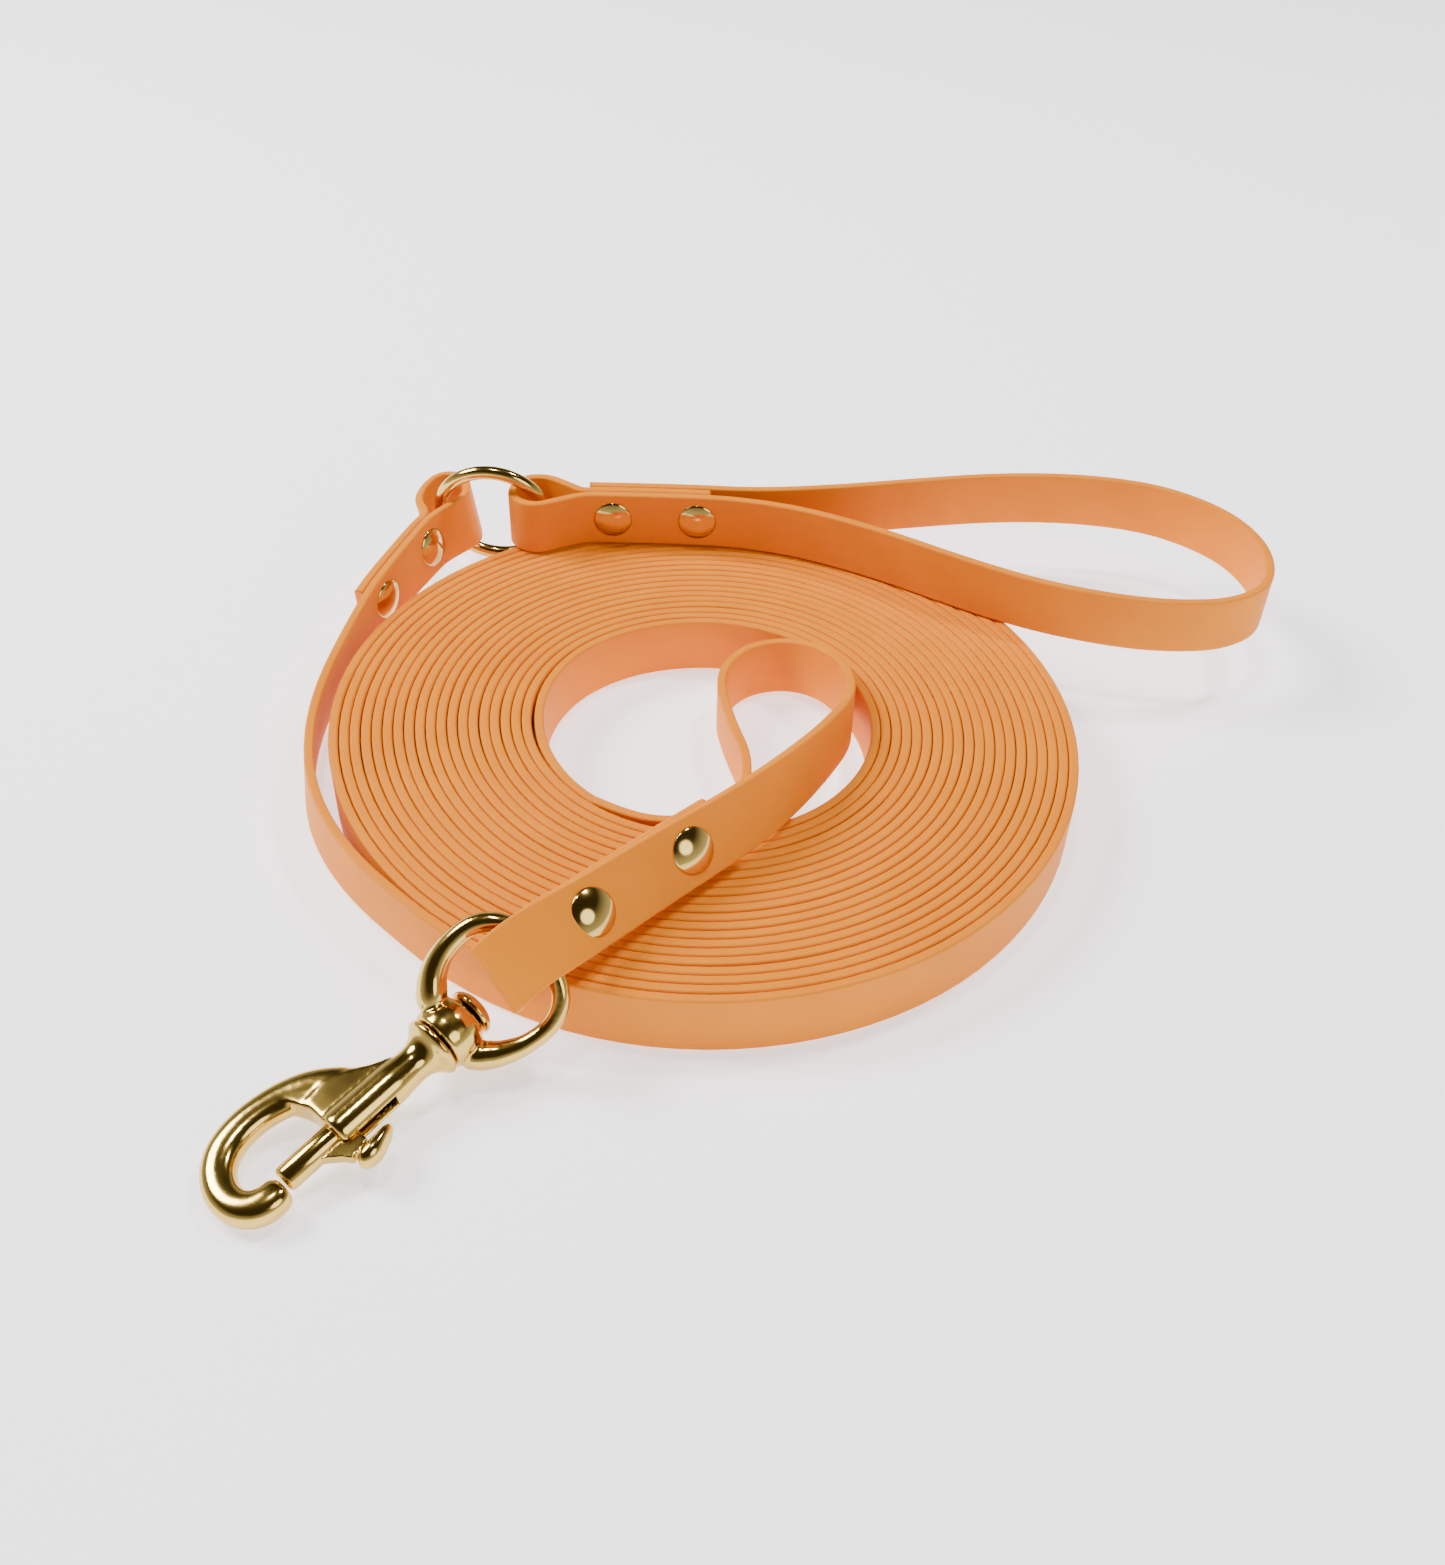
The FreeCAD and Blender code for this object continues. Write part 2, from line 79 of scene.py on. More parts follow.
HOOK_FOLD = [
    (-31.0, -88.6, 28.2, -0.58, 0.56), (-36.4, -94.0, 28.2, -0.6, 0.57),
    (-41.2, -97.2, 24.6, -0.6, 0.57), (-41.0, -93.0, 20.4, -0.6, 0.57),
    (-36.2, -86.4, 20.9, -0.6, 0.57), (-31.3, -82.4, 23.2, -0.56, 0.54),
]
HOOK_TAIL = 42.0
RING_LEAD = [
    (-60.0, -71.5, 8.0, 0, 0), (-74.4, -58.9, 8.0, 0, 0), (-86.8, -44.0, 8.1, 0.05, 0.04),
    (-95.2, -28.0, 8.15, 0.1, 0.04), (-99.6, -10.0, 8.2, 0.13, 0), (-100.4, 9.0, 8.8, 0.13, -0.05),
    (-97.2, 27.5, 11.2, 0.1, -0.12), (-92.4, 43.5, 14.2, 0, -0.12),
    (-90.0, 49.3, 15.2, -0.05, -0.1),
    (-87.0, 55.8, 16.4, -0.09, -0.07), (-80.3, 70.5, 18.7, -0.15, 0.04),
    (-78.2, 75.0, 19.1, -0.15, 0.04),
]
RING_FOLD = [
    (-69.7, 82.3, 20.9, -0.2, 0.06), (-70.2, 89.4, 19.7, -0.16, 0.06),
    (-72.4, 97.2, 19.0, -0.16, 0.06), (-79.8, 98.0, 18.8, -0.16, 0.06),
    (-83.0, 90.6, 18.8, -0.16, 0.06), (-83.8, 82.4, 19.0, -0.16, 0.06),
]
RING_TAIL = 35.5
HANDLE_HEIGHT = 24.4
HANDLE_ROUTE = [
    (-35.2, 84.9), (-24.0, 85.1), (-6.0, 85.2), (13.7, 84.5), (36.9, 87.7), (60.6, 92.7),
    (84.5, 97.1), (108.3, 97.8), (128.4, 94.0), (141.6, 85.8), (150.6, 75.0), (154.6, 59.6),
    (150.6, 43.4), (139.0, 35.2), (124.5, 33.6), (110.0, 35.0), (89.0, 41.1), (68.7, 51.8),
    (47.6, 64.9), (25.4, 75.2), (8.0, 79.0), (-4.0, 79.8), (-16.0, 79.9), (-28.6, 79.8),
    (-36.6, 79.6),
]
HANDLE_FOLD = [
    (-43.4, 76.2), (-50.6, 72.4), (-57.8, 77.4), (-55.6, 87.2), (-48.2, 89.2), (-40.6, 84.2),
]
HANDLE_TAIL = 36.0

# Hardware
RIVET_RADIUS = 5.5
RIVET_HEIGHT = 1.9
RIVET_PRESS = 0.25                          # how far a cap is drawn into the strap
RIVET_RIM = 0.45                            # how high the dome starts
RIVET_EDGE = 0.15                           # how far inside the rim it starts
RIVET_SKIRT = [(-0.6, 0.7), (0.0, 0.12), (0.25, 0.0)]     # (height, distance inside the rim)
DOME_STEPS = 12
LATHE_STEPS = 64
SMALL_LATHE_STEPS = 48
BAR_STEPS = 28
APEX = 1e-6                                 # a lathe radius below this is a point
RING_RADIUS = 15.6
RING_WIRE_RADIUS = 1.9
RING_STEPS = 128
RING_WIRE_STEPS = 24
RING_CENTRE = Vector((-62.8, 82.6, 22.8))
RING_LEAN = math.radians(12.0)
RING_TURN = math.radians(-4.0)
SNAP_ORIGIN = Vector((-51.8, -99.8, 10.6))
SNAP_HEADING = math.radians(229.7)
SNAP_SLOPE = math.radians(8.0)
EYE_ORIGIN = Vector((-51.4, -99.9, 9.9))
EYE_AXIS = Vector((-0.76, -0.40, -0.52))
EYE_BAR_AXIS = Vector((0.54, -0.52, -0.66))

# Castings, in millimetres. Lathe profiles are (x, radius), bars are rows of
# (x, y, half width, half thickness), slabs are (x, y) outlines.
SNAP_PROFILE = [
    (-9.15, 0), (-9.0, 2.2), (-8.5, 3.9), (-7.6, 5.1), (-6.7, 5.55), (-6.0, 5.3), (-5.95, 2.6),
    (3.35, 2.6), (3.35, 6.4), (3.7, 6.95), (4.5, 6.95), (5.1, 6.3), (6.2, 5.0), (7.8, 4.15),
    (9.6, 3.9), (12.0, 4.1), (15.0, 4.4), (29.6, 4.5), (30.2, 4.2), (30.5, 3.6), (30.5, 3.0),
    (9.8, 3.0), (9.8, 0),
]
SNAP_HOOK = [
    (18.0, -5.6, 1.7, 2.9), (22.5, -9.0, 3.6, 3.2), (27.0, -12.2, 4.2, 3.2),
    (31.5, -14.4, 4.0, 3.1), (36.4, -15.6, 3.8, 3.1), (41.4, -15.7, 3.8, 3.1),
    (46.4, -14.4, 3.8, 3.1), (50.2, -11.3, 3.7, 3.1), (52.3, -7.0, 3.6, 3.1),
    (52.3, -2.7, 3.6, 3.2), (50.3, 0.4, 3.7, 3.3), (47.4, 1.5, 3.7, 3.3),
    (45.0, 1.3, 3.4, 3.0), (44.1, 1.2, 2.7, 2.4), (43.7, 1.2, 1.6, 1.4),
]
SNAP_WEBS = [                               # (outline, half thickness)
    ([(12.0, -3.05), (16.0, -5.0), (20.0, -7.6), (25.0, -9.4), (30.0, -8.6), (30.3, -3.05)],
     3.35),
    ([(12.0, -3.3), (15.5, -5.0), (19.0, -7.8), (23.0, -11.2), (27.0, -14.0), (30.0, -14.6),
      (32.4, -12.4), (31.2, -9.4), (30.3, -6.6), (30.2, -3.3)], 3.0),
]
LEVER_SLOT = [(17.0, 1.0), (31.0, 1.0), (31.0, 6.0), (17.0, 6.0)]
LEVER_SLOT_HALF = 1.8
EYE_BOSS = [
    (3.0, 2.75), (3.0, 6.3), (2.5, 6.9), (0.5, 7.1), (-2.0, 6.9), (-4.2, 6.2), (-5.3, 5.2),
    (-5.6, 4.2), (-5.6, 2.75),
]
EYE_ARMS = [
    (0.6, 5.6, 2.2, 2.6), (-1.5, 6.7, 2.9, 3.3), (-3.4, 7.9, 3.1, 3.2), (-6.2, 9.6, 2.7, 2.7),
    (-11.6, 11.4, 2.15, 2.15), (-18.0, 11.4, 2.0, 2.0), (-23.1, 8.4, 2.0, 2.0),
    (-25.6, 2.4, 2.0, 2.0), (-25.6, -5.6, 2.0, 2.0), (-23.3, -11.6, 2.1, 2.1),
    (-18.4, -14.8, 2.2, 2.3), (-11.6, -14.7, 2.4, 2.7), (-6.2, -12.4, 2.9, 3.4),
    (-2.6, -8.9, 3.3, 3.8), (-0.6, -6.9, 2.4, 3.2),
]
BOLT_PROFILE = [
    (22.0, 0), (22.0, 2.6), (22.3, 2.85), (42.4, 2.85), (43.0, 2.5), (43.2, 2.0), (43.2, 0),
]
LEVER_STEM = [(26.6, 2.4), (26.8, 6.4), (31.6, 7.4), (32.6, 5.6), (35.6, 2.6)]
LEVER_STEM_HALF = 1.25
LEVER_THUMB = [
    (21.7, 7.2, 0.5, 0.9), (22.8, 7.6, 1.1, 1.9), (25.2, 8.4, 1.7, 2.6),
    (28.0, 9.0, 2.2, 2.8), (30.2, 8.9, 1.8, 2.3), (31.2, 8.6, 0.8, 1.2),
]

# Looks
STRAP_TONES = (0.80, 0.232, 0.002), (0.86, 0.260, 0.003)
BRASS_SHADE = 0.86                          # the darker patches of the brass
FLOOR_SIZE = 8.0
FLOOR_DROP = 0.0002                         # how far the table lies under the strap's edges
FLOOR_GLOW = 1.2
ROOM_STRENGTH = 0.8
# Name, place in metres, diameter, watts; all face the row frame's origin
LIGHTS = [
    ("key", (-1.0, 0.35, 1.0), 0.6, 27), ("lamp_right", (0.55, 0.45, 1.25), 0.18, 9),
    ("lamp_left", (-0.15, 0.15, 1.5), 0.18, 8), ("fill", (0.9, -0.8, 0.8), 0.8, 6),
]

# Where the camera stands, about the coil's middle
CAMERA_PLACE = Vector((0.0, -306.36, 263.56))
CAMERA_ELEVATION = math.radians(40.706)
CAMERA_PAN = math.radians(0.666)
CAMERA_TILT = math.radians(-0.629)
CAMERA_ROLL = math.radians(2.148)
CAMERA_LENS = 35.743


def to_scene(point):
    """A point about the coil's middle in millimetres, in the row frame in metres."""
    return (point + COIL_CENTRE) * MM


def put(name, bm):
    """Turns a bmesh in millimetres about the coil's middle into a shown object."""
    mesh = bpy.data.meshes.new(name)
    to_row_frame = Matrix.Scale(MM, 4) @ Matrix.Translation(COIL_CENTRE)
    bmesh.ops.transform(bm, matrix=to_row_frame, verts=bm.verts)
    bmesh.ops.recalc_face_normals(bm, faces=bm.faces)
    for face in bm.faces:
        face.smooth = True
    bm.to_mesh(mesh)
    bm.free()
    obj = bpy.data.objects.new(name, mesh)
    bpy.context.scene.collection.objects.link(obj)
    return obj


def skin(bm, rings, capped=True):
    """Faces from each ring of vertices to the next; a ring of one vertex is a point."""
    count = max(len(ring) for ring in rings)
    for near, far in zip(rings, rings[1:]):
        for index in range(count):
            after = (index + 1) % count
            corners = [near[index % len(near)], near[after % len(near)],
                       far[after % len(far)], far[index % len(far)]]
            bm.faces.new(dict.fromkeys(corners))
    for ring in (rings[0], rings[-1]):
        if capped and len(ring) > 1:
            bm.faces.new(ring)


def flat_normals(obj):
    """Lets the wide faces keep their own normals beside small rounded corners."""
    obj.modifiers.new("normals", "WEIGHTED_NORMAL").weight = 100
    return obj


# ---------------------------------------------------------------- strap

def nurbs_line(points):
    """Places along the smooth curve that the given points control."""
    data = bpy.data.curves.new("route", "CURVE")
    data.dimensions = "3D"
    data.resolution_u = ROUTE_RESOLUTION
    spline = data.splines.new("NURBS")
    spline.points.add(len(points) - 1)
    for control, point in zip(spline.points, points):
        control.co = (*point, 1.0)
    spline.order_u = 3
    spline.use_endpoint_u = True
    carrier = bpy.data.objects.new("route", data)
    mesh = bpy.data.meshes.new_from_object(carrier)
    line = [vertex.co.copy() for vertex in mesh.vertices]
    bpy.data.meshes.remove(mesh)
    bpy.data.objects.remove(carrier)
    bpy.data.curves.remove(data)
    return line


def leaning(station):
    """A station's place, and the direction of the strap's top edge from it."""
    x, y, z, top_x, top_y = station
    top = Vector((top_x, top_y, math.sqrt(1 - top_x ** 2 - top_y ** 2)))
    return Vector((x, y, z)), top


def frames_of(stations):
    """(distance, middle, along, across) all the way along a strap's route."""
    middles = nurbs_line([place for place, _ in stations])
    tops = nurbs_line([place + lean * (STRAP_WIDTH / 2) for place, lean in stations])
    frames = []
    distance = 0.0
    for index, middle in enumerate(middles):
        before = middles[max(index - 1, 0)]
        after = middles[min(index + 1, len(middles) - 1)]
        along = (after - before).normalized()
        across = tops[index] - middle
        across = (across - along * along.dot(across)).normalized()
        distance += (middle - before).length
        frames.append((distance, middle, along, across))
    return frames


def frame_at(frames, distance):
    """The frame nearest to a distance along the strap."""
    return min(frames, key=lambda item: abs(item[0] - distance))


def distance_to(frames, place):
    """How far along the strap its nearest frame to a place is."""
    return min(frames, key=lambda item: (item[1] - place).length)[0]


def with_tail(lead, fold, length, side):
    """The lead, its fold, and a tail laid one layer to the side of the lead's end."""
    whole = lead + fold
    frames = frames_of(whole)
    start = distance_to(frames, lead[-1][0])
    count = round(length / TAIL_STEP)
    tail = []
    for index in range(count + 1):
        _, middle, along, across = frame_at(frames, start - length * index / count)
        tail.append((middle + across.cross(along) * (side * LAYER_STEP), across))
    return whole + tail


def uneven(angle, turn, around, inward, offset=0):
    """Smooth noise that changes around the coil and from turn to turn."""
    return noise.noise(Vector((math.cos(angle) * around, math.sin(angle) * around,
                               turn * inward + offset)))


def coil_frames():
    """The wound turns, with the small unevenness of turns laid by hand."""
    steps = COIL_STEPS * COIL_TURNS
    frames = []
    distance = 0.0
    for index in range(steps + 1):
        turn = index / COIL_STEPS
        angle = COIL_START_ANGLE + turn * math.tau
        fade = min(1.0, turn * COIL_FADE, (COIL_TURNS - turn) * COIL_FADE)
        wander = WANDER * uneven(angle, turn, around=1.7, inward=0.9)
        lift = LIFT * uneven(angle, turn, around=2.3, inward=1.6, offset=9)
        away = abs(math.remainder(angle - LOOSE_SIDE, math.tau)) * LOOSE_NARROW
        loose = LOOSE_BY * math.cos(min(away, math.pi / 2)) ** 2
        loose *= 1 - LOOSE_LOST * turn / COIL_TURNS
        radius = COIL_START_RADIUS - COIL_PITCH * turn + (wander + loose) * fade
        out = Vector((math.cos(angle), math.sin(angle), 0))
        middle = out * radius + UP * (STRAP_WIDTH / 2 + abs(lift) * fade)
        frames.append((distance, middle, UP.cross(out), UP.copy()))
        distance += radius * math.tau / COIL_STEPS
    return frames


def strap_profile():
    """The strap's rounded section: (across, thick) pairs, anticlockwise."""
    half_width = STRAP_WIDTH / 2 - STRAP_CORNER
    half_thick = STRAP_THICK / 2 - STRAP_CORNER
    points = []
    for corner in range(4):
        centre_x = half_width if corner in (0, 3) else -half_width
        centre_y = half_thick if corner in (0, 1) else -half_thick
        for step in range(CORNER_STEPS + 1):
            angle = math.radians(90 * (corner + step / CORNER_STEPS))
            points.append((centre_x + STRAP_CORNER * math.cos(angle),
                           centre_y + STRAP_CORNER * math.sin(angle)))
    return points


def sweep(name, frames, profile):
    """One closed mesh of the profile drawn through all the frames."""
    bm = bmesh.new()
    rings = []
    for _, middle, along, across in frames:
        thick = along.cross(across)
        rings.append([bm.verts.new(middle + across * u + thick * v) for u, v in profile])
    skin(bm, rings)
    return put(name, bm)


def strap(name, frames, material, body, *nodes):
    """A visible strap in place of the named CAD nodes."""
    obj = flat_normals(sweep(name, frames, strap_profile()))
    obj.data.materials.append(material)
    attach(obj, body)
    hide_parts(*nodes)
    return obj


# ---------------------------------------------------------------- hardware shapes

def framed(origin, x_axis, y_hint):
    """Matrix whose X runs along x_axis and whose Y lies as near y_hint as it can."""
    x_axis = x_axis.normalized()
    z_axis = x_axis.cross(y_hint).normalized()
    y_axis = z_axis.cross(x_axis)
    turn = Matrix((x_axis, y_axis, z_axis)).transposed().to_4x4()
    return Matrix.Translation(origin) @ turn


def snap_frame():
    """X runs along the snap's axis from the eye, Y is level and Z is its upper side."""
    level = Vector((math.cos(SNAP_HEADING), math.sin(SNAP_HEADING), 0))
    axis = level * math.cos(SNAP_SLOPE) - UP * math.sin(SNAP_SLOPE)
    return framed(SNAP_ORIGIN, axis, UP.cross(level))


def lathe(bm, profile, matrix, segments=LATHE_STEPS, hollow=False):
    """Turns the profile about the matrix's X axis; a hollow one meets its own start."""
    rings = []
    for x, radius in profile:
        if radius < APEX:
            rings.append([bm.verts.new(matrix @ Vector((x, 0, 0)))])
            continue
        ring = []
        for index in range(segments):
            angle = math.tau * index / segments
            place = Vector((x, radius * math.cos(angle), radius * math.sin(angle)))
            ring.append(bm.verts.new(matrix @ place))
        rings.append(ring)
    if hollow:
        rings.append(rings[0])
    skin(bm, rings, capped=not hollow)


def through(points, steps=8):
    """Rows of numbers eased smoothly through the given rows."""
    rows = [points[0]] + list(points) + [points[-1]]
    eased = []
    for index in range(1, len(rows) - 2):
        four = rows[index - 1:index + 3]
        for step in range(steps):
            t = step / steps
            eased.append([0.5 * (2 * q + (r - p) * t + (2 * p - 5 * q + 4 * r - o) * t * t
                                 + (3 * q - p - 3 * r + o) * t ** 3)
                          for p, q, r, o in zip(*four)])
    eased.append(list(points[-1]))
    return eased


def squared(value, squareness):
    """A sine or cosine of a superellipse; 2 is round and more is squarer."""
    return math.copysign(abs(value) ** (2 / squareness), value)


def bar(bm, rows, matrix, squareness=2.0):
    """A bar along the given rows, lying in the matrix's XY plane."""
    rings = []
    for index, (x, y, wide, thick) in enumerate(rows):
        before = rows[max(index - 1, 0)]
        after = rows[min(index + 1, len(rows) - 1)]
        along = Vector((after[0] - before[0], after[1] - before[1], 0)).normalized()
        side = UP.cross(along)
        ring = []
        for step in range(BAR_STEPS):
            angle = math.tau * step / BAR_STEPS
            across = squared(math.cos(angle), squareness)
            rise = squared(math.sin(angle), squareness)
            place = Vector((x, y, 0)) + side * (wide * across) + UP * (thick * rise)
            ring.append(bm.verts.new(matrix @ place))
        rings.append(ring)
    skin(bm, rings)


def slab(bm, outline, half_thick, matrix):
    """A flat piece with the given (x, y) outline."""
    faces = []
    for z in (half_thick, -half_thick):
        faces.append([bm.verts.new(matrix @ Vector((x, y, z))) for x, y in outline])
    top, bottom = faces
    bm.faces.new(top)
    bm.faces.new(bottom)
    for index in range(len(outline)):
        after = (index + 1) % len(outline)
        bm.faces.new((top[index], top[after], bottom[after], bottom[index]))


def cast(name, bm, body, node, voxel, rounds):
    """Runs overlapping closed shapes together into one smooth casting."""
    obj = put(name, bm)
    joined = obj.modifiers.new("joined", "REMESH")
    joined.mode = "VOXEL"
    joined.voxel_size = voxel * MM
    joined.use_smooth_shade = True
    smooth = obj.modifiers.new("smooth", "SMOOTH")
    smooth.factor = 0.5
    smooth.iterations = rounds
    obj.data.materials.append(cast_brass)
    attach(obj, body)
    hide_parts(node)
    return obj


def snap_casting():
    """Post, collar, barrel and hook of the snap, run together, with the lever's slot cut."""
    matrix = snap_frame()
    bm = bmesh.new()
    lathe(bm, SNAP_PROFILE, matrix)
    bar(bm, through(SNAP_HOOK), matrix, squareness=2.3)
    for outline, half_thick in SNAP_WEBS:
        slab(bm, outline, half_thick, matrix)
    casting = cast("snap_casting", bm, "snap", "snap_body", voxel=0.30, rounds=26)
    bm = bmesh.new()
    slab(bm, LEVER_SLOT, LEVER_SLOT_HALF, matrix)
    cutter = put("slot_cutter", bm)
    cut = casting.modifiers.new("slot", "BOOLEAN")
    cut.operation = "DIFFERENCE"
    cut.object = cutter
    cut.solver = "EXACT"
    finished = casting.evaluated_get(bpy.context.evaluated_depsgraph_get())
    baked = bpy.data.meshes.new_from_object(finished)
    casting.modifiers.clear()
    casting.data = baked
    bpy.data.objects.remove(cutter)


def eye_casting():
    """The boss, and two stout arms that run from it round the fold of the strap."""
    bm = bmesh.new()
    lathe(bm, EYE_BOSS, snap_frame(), hollow=True)
    bar(bm, through(EYE_ARMS), framed(EYE_ORIGIN, EYE_AXIS, EYE_BAR_AXIS))
    cast("eye_casting", bm, "eye", "swivel_eye", voxel=0.28, rounds=12)


def bolt_and_lever():
    """The bolt, and the lever that stands out of the barrel's slot."""
    matrix = snap_frame()
    bm = bmesh.new()
    lathe(bm, BOLT_PROFILE, matrix, segments=SMALL_LATHE_STEPS)
    pin = put("bolt_pin", bm)
    pin.data.materials.append(cast_brass)
    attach(pin, "bolt")
    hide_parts("snap_bolt")
    bm = bmesh.new()
    slab(bm, LEVER_STEM, LEVER_STEM_HALF, matrix)
    bar(bm, through(LEVER_THUMB), matrix)
    cast("lever_casting", bm, "bolt", "thumb_lever", voxel=0.22, rounds=5)


def joining_ring():
    """The plain round ring between the line and the hand loop."""
    normal = Vector((math.sin(RING_TURN) * math.cos(RING_LEAN),
                     -math.cos(RING_TURN) * math.cos(RING_LEAN), -math.sin(RING_LEAN)))
    matrix = framed(RING_CENTRE, normal, UP)
    bm = bmesh.new()
    rings = []
    for index in range(RING_STEPS):
        angle = math.tau * index / RING_STEPS
        spoke = Vector((0, math.cos(angle), math.sin(angle)))
        ring = []
        for step in range(RING_WIRE_STEPS):
            turn = math.tau * step / RING_WIRE_STEPS
            offset = (spoke * (RING_WIRE_RADIUS * math.cos(turn))
                      + Vector((RING_WIRE_RADIUS * math.sin(turn), 0, 0)))
            ring.append(bm.verts.new(matrix @ (spoke * RING_RADIUS + offset)))
        rings.append(ring)
    skin(bm, rings + rings[:1], capped=False)
    obj = put("brass_ring", bm)
    obj.data.materials.append(cast_brass)
    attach(obj, "ring")
    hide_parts("joining_ring")


def rivet_cap(name, seat, outward, body, node, material):
    """One domed half of a rivet, its skirt just turned into the strap."""
    matrix = framed(seat - outward * RIVET_PRESS, outward, UP)
    rise = RIVET_HEIGHT - RIVET_RIM
    ball = (RIVET_RADIUS ** 2 + rise ** 2) / (2 * rise)
    profile = [(height, RIVET_RADIUS - inside) for height, inside in RIVET_SKIRT]
    spread = math.asin(min(1.0, (RIVET_RADIUS - RIVET_EDGE) / ball))
    for step in range(DOME_STEPS + 1):
        angle = spread * (1 - step / DOME_STEPS)
        profile.append((RIVET_HEIGHT - ball + ball * math.cos(angle), ball * math.sin(angle)))
    bm = bmesh.new()
    lathe(bm, profile, matrix, segments=SMALL_LATHE_STEPS)
    obj = put(name, bm)
    obj.data.materials.append(material)
    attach(obj, body)
    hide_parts(node)
    return obj


def rivets(group, frames, lead, side, layers, body, material):
    """Both halves of a group's rivets, through the given number of strap layers."""
    for number, index in enumerate(RIVET_STATIONS, start=1):
        _, middle, along, across = frame_at(frames, distance_to(frames, lead[index][0]))
        outward = across.cross(along) * -side
        stack = layers * LAYER_STEP - (LAYER_STEP - STRAP_THICK)
        front = middle + outward * (STRAP_THICK / 2)
        name = f"{group}_rivet_{number}"
        rivet_cap(f"{name}_face", front, outward, body, f"{name}_post", material)
        back = front - outward * stack
        rivet_cap(f"{name}_back", back, -outward, body, f"{name}_cap", material)


# ---------------------------------------------------------------- materials

def node_material(name):
    material = bpy.data.materials.new(name)
    material.use_nodes = True
    nodes = material.node_tree.nodes
    return material, nodes, material.node_tree.links, nodes["Principled BSDF"]


def noise_texture(nodes, links, place, scale, detail):
    texture = nodes.new("ShaderNodeTexNoise")
    texture.inputs["Scale"].default_value = scale
    texture.inputs["Detail"].default_value = detail
    links.new(place.outputs["Object"], texture.inputs["Vector"])
    return texture.outputs["Fac"]


def ramped(nodes, links, source, target, *stops):
    """Colours the target by where the source lies between two (position, colour) stops."""
    ramp = nodes.new("ShaderNodeValToRGB")
    for element, (position, colour) in zip(ramp.color_ramp.elements, stops):
        element.position = position
        element.color = (*colour, 1)
    links.new(source, ramp.inputs["Fac"])
    links.new(ramp.outputs["Color"], target)


def bumped(nodes, links, height, shader, strength, distance):
    bump = nodes.new("ShaderNodeBump")
    bump.inputs["Strength"].default_value = strength
    bump.inputs["Distance"].default_value = distance
    links.new(height, bump.inputs["Height"])
    links.new(bump.outputs["Normal"], shader.inputs["Normal"])


def strap_material():
    """Smooth matte coated webbing with a very fine grain."""
    material, nodes, links, shader = node_material("orange_strap")
    place = nodes.new("ShaderNodeTexCoord")
    dark, light = STRAP_TONES
    tone = noise_texture(nodes, links, place, scale=60.0, detail=4.0)
    ramped(nodes, links, tone, shader.inputs["Base Color"], (0.3, dark), (0.7, light))
    grain = noise_texture(nodes, links, place, scale=2600.0, detail=3.0)
    bumped(nodes, links, grain, shader, strength=0.10, distance=0.0002)
    shader.inputs["Roughness"].default_value = 0.55
    shader.inputs["Specular IOR Level"].default_value = 0.12
    return material


def brass_material(name, colour, roughness, unevenness):
    """Polished brass; cast pieces are a little uneven and keep a few small pits."""
    material, nodes, links, shader = node_material(name)
    place = nodes.new("ShaderNodeTexCoord")
    shader.inputs["Metallic"].default_value = 1.0
    dark = [BRASS_SHADE * part for part in colour]
    tone = noise_texture(nodes, links, place, scale=90.0, detail=3.0)
    ramped(nodes, links, tone, shader.inputs["Base Color"], (0.3, dark), (0.7, colour))
    spread = nodes.new("ShaderNodeMapRange")
    spread.inputs["To Min"].default_value = roughness * 0.6
    spread.inputs["To Max"].default_value = roughness * 1.5
    links.new(tone, spread.inputs["Value"])
    links.new(spread.outputs["Result"], shader.inputs["Roughness"])
    waves = noise_texture(nodes, links, place, scale=110.0, detail=1.0)
    pits = nodes.new("ShaderNodeTexVoronoi")
    pits.inputs["Scale"].default_value = 420.0
    links.new(place.outputs["Object"], pits.inputs["Vector"])
    deep = nodes.new("ShaderNodeMapRange")
    deep.inputs["From Max"].default_value = 0.10
    links.new(pits.outputs["Distance"], deep.inputs["Value"])
    height = nodes.new("ShaderNodeMath")
    height.operation = "MULTIPLY_ADD"
    height.inputs[1].default_value = 0.25
    links.new(deep.outputs["Result"], height.inputs[0])
    links.new(waves, height.inputs[2])
    bumped(nodes, links, height.outputs["Value"], shader, unevenness, distance=0.0003)
    return material


def steel_material():
    material, _, _, shader = node_material("spring_wire")
    shader.inputs["Metallic"].default_value = 1.0
    shader.inputs["Base Color"].default_value = (0.55, 0.55, 0.56, 1)
    shader.inputs["Roughness"].default_value = 0.3
    return material


def floor_material():
    material, _, _, shader = node_material("table")
    shader.inputs["Base Color"].default_value = (0.96, 0.96, 0.96, 1)
    shader.inputs["Roughness"].default_value = 0.85
    shader.inputs["Emission Color"].default_value = (1.0, 0.98, 1.0, 1)
    shader.inputs["Emission Strength"].default_value = FLOOR_GLOW
    return material


orange = strap_material()
cast_brass = brass_material("cast_brass", (0.70, 0.47, 0.11), 0.13, 0.10)
turned = brass_material("rivet_brass", (0.66, 0.45, 0.12), 0.12, 0.04)
steel = steel_material()

# ---------------------------------------------------------------- the line and the loop

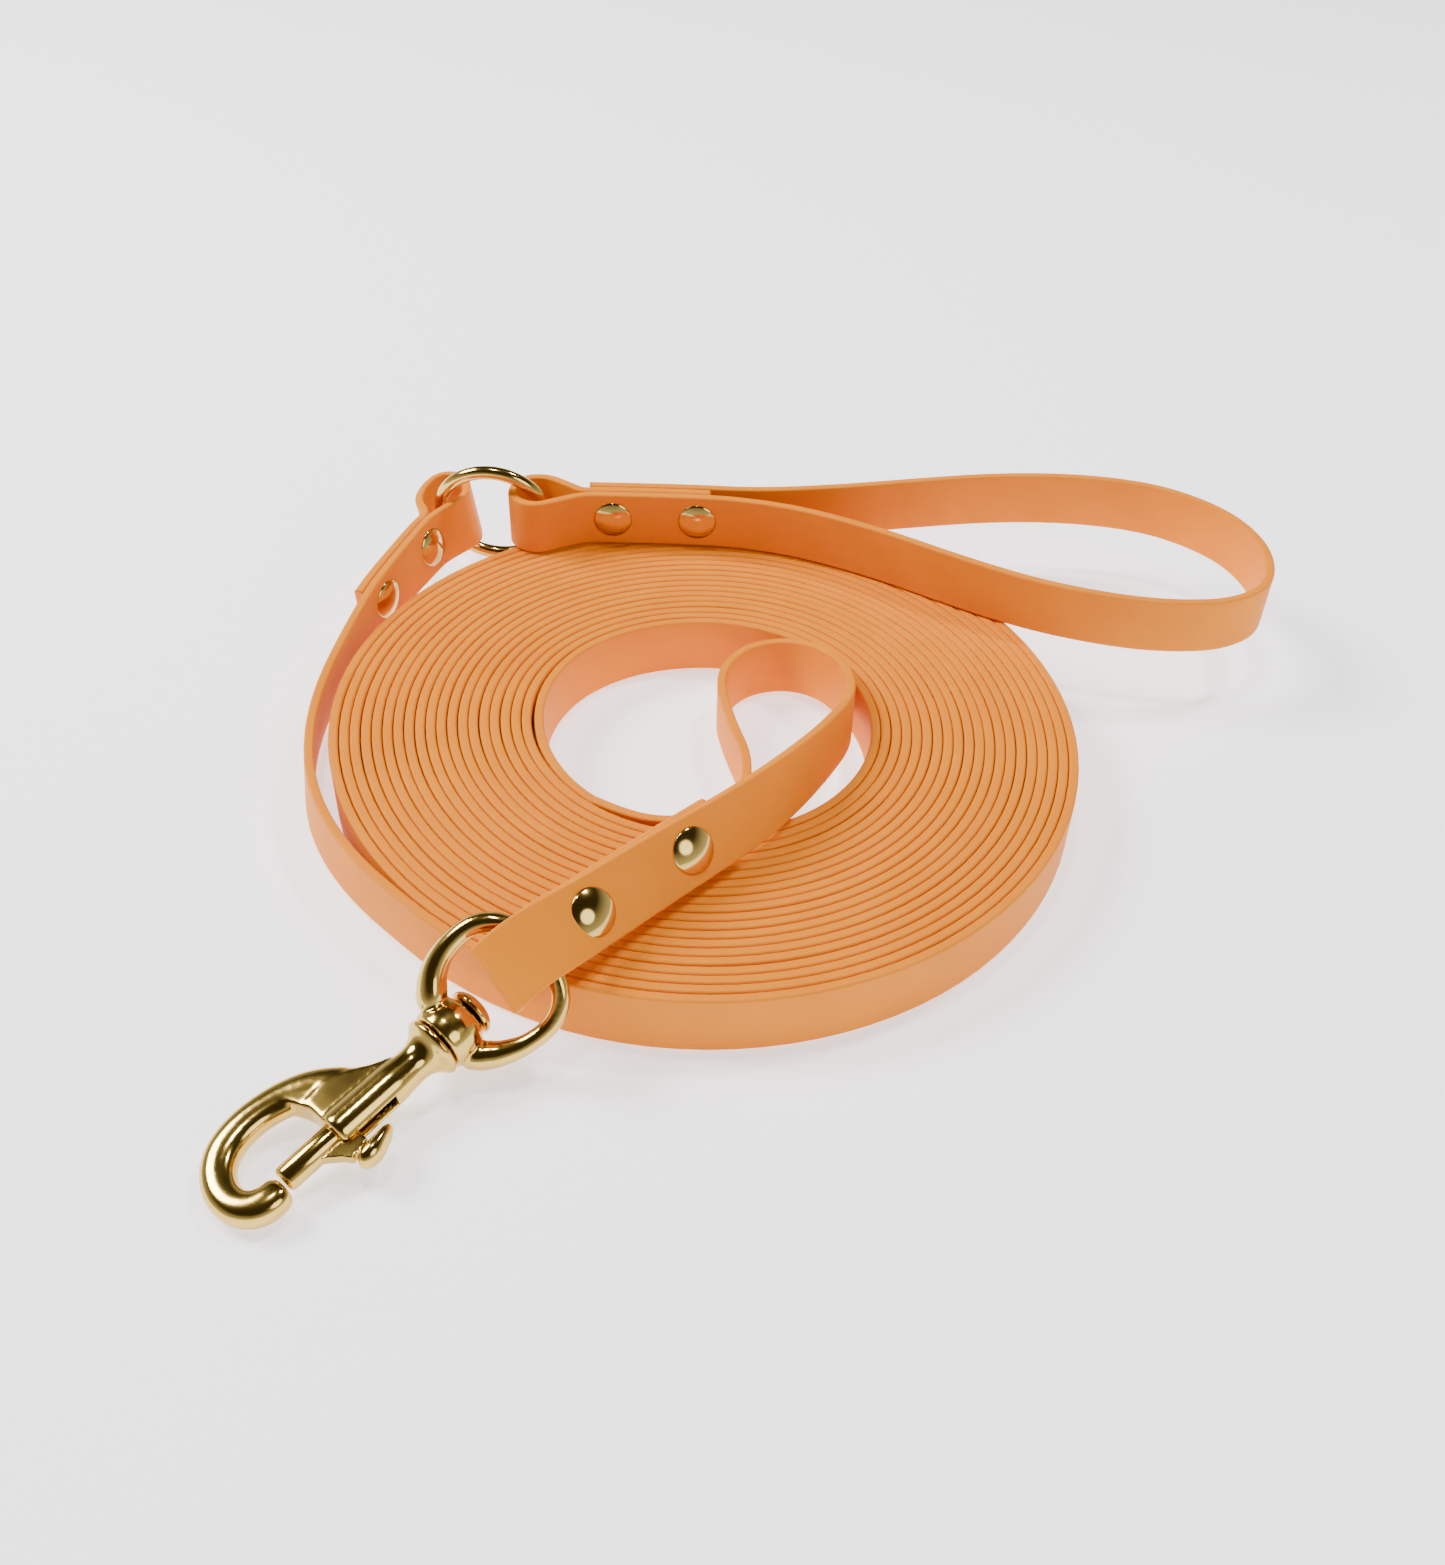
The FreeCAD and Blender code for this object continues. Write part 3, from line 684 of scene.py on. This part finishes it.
hook_lead = [leaning(station) for station in HOOK_LEAD]
hook_fold = [leaning(station) for station in HOOK_FOLD]
ring_lead = [leaning(station) for station in RING_LEAD]
ring_fold = [leaning(station) for station in RING_FOLD]
handle_lead = [leaning((x, y, HANDLE_HEIGHT, 0, 0)) for x, y in HANDLE_ROUTE]
handle_fold = [leaning((x, y, HANDLE_HEIGHT, 0, 0)) for x, y in HANDLE_FOLD]

hook_frames = frames_of(with_tail(hook_lead, hook_fold, HOOK_TAIL, -1))
ring_frames = frames_of(with_tail(ring_lead, ring_fold, RING_TAIL, 1))
handle_frames = frames_of(with_tail(handle_lead, handle_fold, HANDLE_TAIL, -1))

line_frames = [(0, middle, -along, across) for _, middle, along, across in reversed(ring_frames)]
line_frames = line_frames[:-1] + coil_frames() + hook_frames[1:]
strap("line_strap", line_frames, orange, "line", "line_coil", "line_ring_end", "line_hook_end")
strap("hand_loop", handle_frames, orange, "handle", "handle_strap")

rivets("hook", hook_frames, hook_lead, -1, 2, "line", turned)
rivets("ring", ring_frames, ring_lead, 1, 2, "line", turned)
rivets("handle", handle_frames, handle_lead, -1, 3, "handle", turned)

joining_ring()

snap_casting()
eye_casting()
bolt_and_lever()

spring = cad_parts["bolt_spring"]
spring.data.materials.clear()
spring.data.materials.append(steel)


# ---------------------------------------------------------------- floor, light and camera

def table_top():
    bpy.ops.mesh.primitive_plane_add(size=FLOOR_SIZE, location=(0, 0, -FLOOR_DROP))
    floor = bpy.context.object
    floor.name = "table_top"
    floor.data.materials.append(floor_material())


def area_light(name, place, size, energy):
    light = bpy.data.lights.new(name, "AREA")
    light.shape = "DISK"
    light.size = size
    light.energy = energy
    obj = bpy.data.objects.new(name, light)
    obj.location = place
    obj.rotation_euler = (-Vector(place)).to_track_quat("-Z", "Y").to_euler()
    bpy.context.scene.collection.objects.link(obj)


def room():
    """Pale walls all round, darker overhead where the lamps hang."""
    world = bpy.data.worlds.new("room")
    world.use_nodes = True
    nodes = world.node_tree.nodes
    links = world.node_tree.links
    place = nodes.new("ShaderNodeTexCoord")
    split = nodes.new("ShaderNodeSeparateXYZ")
    links.new(place.outputs["Generated"], split.inputs["Vector"])
    backdrop = nodes["Background"]
    ramped(nodes, links, split.outputs["Z"], backdrop.inputs["Color"],
           (0.10, (0.95, 0.94, 0.96)), (0.55, (0.06, 0.05, 0.035)))
    backdrop.inputs["Strength"].default_value = ROOM_STRENGTH
    bpy.context.scene.world = world


def camera():
    """Looks over the coil's middle, as fitted to the photograph."""
    ahead = Vector((0, math.cos(CAMERA_ELEVATION), -math.sin(CAMERA_ELEVATION)))
    right = Vector((1, 0, 0))
    above = right.cross(ahead)
    ahead = (ahead + right * math.tan(CAMERA_PAN) + above * math.tan(CAMERA_TILT)).normalized()
    right = ahead.cross(UP).normalized()
    above = right.cross(ahead)
    rolled_right = right * math.cos(CAMERA_ROLL) + above * math.sin(CAMERA_ROLL)
    rolled_up = above * math.cos(CAMERA_ROLL) - right * math.sin(CAMERA_ROLL)
    data = bpy.data.cameras.new("camera")
    data.lens = CAMERA_LENS
    data.sensor_width = 36.0
    data.clip_start = 0.01
    obj = bpy.data.objects.new("camera", data)
    turn = Matrix((rolled_right, rolled_up, -ahead)).transposed().to_4x4()
    obj.matrix_world = Matrix.Translation(to_scene(CAMERA_PLACE)) @ turn
    bpy.context.scene.collection.objects.link(obj)
    bpy.context.scene.camera = obj


table_top()
room()
for lamp in LIGHTS:
    area_light(*lamp)
camera()

bpy.context.view_layer.update()
